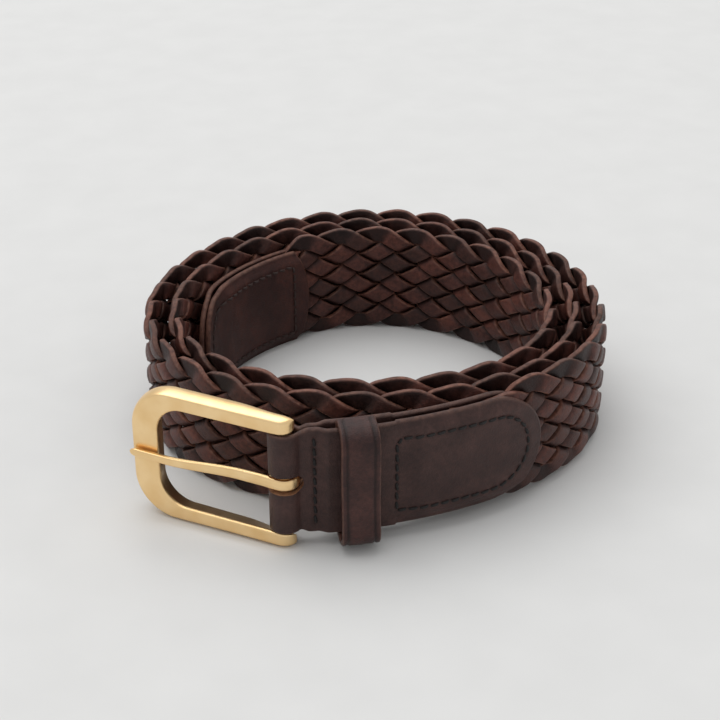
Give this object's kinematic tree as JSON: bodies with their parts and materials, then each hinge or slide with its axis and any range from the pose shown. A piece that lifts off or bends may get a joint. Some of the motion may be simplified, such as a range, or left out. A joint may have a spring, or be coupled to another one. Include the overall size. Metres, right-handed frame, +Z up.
{
  "type": "leather belt",
  "caption": "Plaited dark brown leather belt with a satin gold end-bar buckle, coiled and standing on its edge; prong, frame and keeper move.",
  "frame": {"origin": "middle of the bounding box, on the surface that the coil stands on", "axes": "+Z up, across the strap; +X along the chape at the keeper, from the buckle towards the strap; -Y is the front, where the keeper and the prong face"},
  "size_m": [0.1421, 0.1438, 0.0385],
  "materials": {
    "gold_metal": "satin, fine brushed",
    "tab_leather": "smooth semi-gloss, dark chocolate",
    "keeper_leather": "smooth semi-gloss, reddish chocolate",
    "plait_leather": "satin, waxed strands with darker cut edges",
    "thread": "waxed black thread"
  },
  "bodies": {
    "strap": {"chape": "tab_leather", "fold_stitching": "thread", "chape_stitching": "thread", "tip_outer_leaf": "tab_leather", "tip_inner_leaf": "tab_leather", "tip_stitching": "thread", "strand_1": "plait_leather", "strand_2": "plait_leather", "strand_3": "plait_leather", "strand_4": "plait_leather", "strand_5": "plait_leather", "strand_6": "plait_leather", "strand_7": "plait_leather", "strand_8": "plait_leather", "strand_9": "plait_leather"},
    "buckle": {"buckle_frame": "gold_metal"},
    "prong": {"prong": "gold_metal"},
    "keeper": {"keeper": "keeper_leather", "keeper_seam": "thread"}
  },
  "joints": [
    {"name": "buckle_pivot", "type": "hinge", "parent": "strap", "child": "buckle", "pos_m": [-0.03159, -0.06106, 0.0193], "axis": [0, 0, 1], "range_deg": [-12, 33]},
    {"name": "prong_pivot", "type": "hinge", "parent": "buckle", "child": "prong", "pos_m": [-0.03159, -0.06106, 0.0193], "axis": [0, 0, 1], "range_deg": [0, 80]},
    {"name": "keeper_slide", "type": "slide", "parent": "strap", "child": "keeper", "axis": [1, 0, 0], "range_m": [-0.003, 0.003]}
  ]
}
